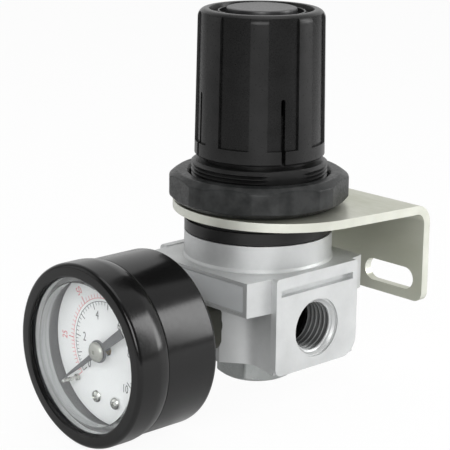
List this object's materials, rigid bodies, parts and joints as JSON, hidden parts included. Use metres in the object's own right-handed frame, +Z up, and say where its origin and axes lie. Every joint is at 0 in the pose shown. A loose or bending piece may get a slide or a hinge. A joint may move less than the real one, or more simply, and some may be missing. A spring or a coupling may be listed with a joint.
{
  "type": "mini air pressure regulator",
  "caption": "Compact compressed-air regulator: lift-and-turn knob, panel nut, angle bracket, threaded side ports and a round front pressure gauge.",
  "frame": {"origin": "middle of the bracket's flat back face, level with its two slots", "axes": "+Y out of the bracket's back face, +Z up the knob's axis, +X towards the port that the picture shows"},
  "size_m": [0.055, 0.0845, 0.0932],
  "materials": {
    "body_cast": "die-cast, fine bead-blasted satin",
    "bonnet_plastic": "moulded, satin black",
    "bracket_zinc": "zinc plated, satin",
    "nut_plastic": "moulded, satin black",
    "knob_plastic": "moulded, fine matt texture",
    "cover_plastic": "moulded, satin black",
    "steel": "machined",
    "brass": "machined",
    "spring_steel": "drawn wire",
    "rubber": "matt moulded",
    "guide_metal": "turned from hexagon bar",
    "plug_steel": "zinc plated",
    "gauge_brass": "machined",
    "gauge_shell": "gloss black",
    "gauge_rim": "gloss black",
    "lens_plastic": "clear, polished",
    "dial_face": "white printed",
    "nickel": "nickel plated",
    "pointer_paint": "painted dark",
    "tube_bronze": "drawn tube"
  },
  "bodies": {
    "housing": {"body": "body_cast", "bonnet": "bonnet_plastic", "bracket": "bracket_zinc", "panel_nut": "nut_plastic", "diaphragm": "rubber", "main_spring": "spring_steel", "valve_spring": "spring_steel", "valve_guide": "guide_metal", "guide_o_ring": "rubber", "rear_port_plug": "plug_steel", "thrust_washer": "steel", "gauge_stem": "gauge_brass", "gauge_case": "gauge_shell", "gauge_bezel": "gauge_rim", "gauge_lens": "lens_plastic", "lens_gasket": "rubber", "gauge_dial": "dial_face", "dial_screw_left": "nickel", "dial_screw_right": "nickel", "zero_stop_pin": "nickel", "bourdon_tube": "tube_bronze", "bourdon_tip": "brass", "movement_back_plate": "brass", "movement_front_plate": "brass", "movement_pillar_left": "brass", "movement_pillar_right": "brass"},
    "screw": {"adjusting_screw": "steel"},
    "knob_set": {"knob": "knob_plastic", "knob_cover": "cover_plastic"},
    "nut_slider": {"spring_nut": "brass"},
    "diaphragm_core": {"diaphragm_plate": "steel", "relief_seat": "brass"},
    "valve": {"valve_stem": "brass", "valve_seal": "rubber"},
    "pointer_set": {"pointer": "pointer_paint", "pointer_boss": "nickel", "pinion_arbor": "brass"},
    "sector": {"sector_gear": "brass"},
    "link": {"gauge_link": "brass"}
  },
  "joints": [
    {"name": "screw_turn", "type": "hinge", "parent": "housing", "child": "screw", "pos_m": [0, -0.03, 0.038], "axis": [0, 0, -1], "range_deg": [0, 1440]},
    {"name": "knob_lift", "type": "slide", "parent": "screw", "child": "knob_set", "axis": [0, 0, 1], "range_m": [0, 0.0025]},
    {"name": "nut_travel", "type": "slide", "parent": "housing", "child": "nut_slider", "axis": [0, 0, -1], "range_m": [0, 0.005], "deforming": ["main_spring"]},
    {"name": "diaphragm_travel", "type": "slide", "parent": "housing", "child": "diaphragm_core", "axis": [0, 0, -1], "range_m": [0, 0.0008], "deforming": ["diaphragm"]},
    {"name": "valve_travel", "type": "slide", "parent": "housing", "child": "valve", "axis": [0, 0, -1], "range_m": [0, 0.0008], "deforming": ["valve_spring"]},
    {"name": "pointer_sweep", "type": "hinge", "parent": "housing", "child": "pointer_set", "pos_m": [0, -0.079, -0.007], "axis": [0, 1, 0], "range_deg": [0, 270]},
    {"name": "sector_swing", "type": "hinge", "parent": "housing", "child": "sector", "pos_m": [0, -0.0707, -0.0145], "axis": [0, 1, 0], "range_deg": [-67.5, 0]},
    {"name": "link_swing", "type": "hinge", "parent": "sector", "child": "link", "pos_m": [-0.00196, -0.0691, -0.0174], "axis": [0, 1, 0], "range_deg": [0, 67.5]}
  ],
  "couplings": [
    {"joint": "nut_travel", "follows": "screw_turn", "m_per_rad": 0.00019894},
    {"joint": "diaphragm_travel", "follows": "screw_turn", "m_per_rad": 0.000031831},
    {"joint": "valve_travel", "follows": "screw_turn", "m_per_rad": 0.000031831},
    {"joint": "sector_swing", "follows": "pointer_sweep", "ratio": -0.25},
    {"joint": "link_swing", "follows": "pointer_sweep", "ratio": 0.25}
  ]
}
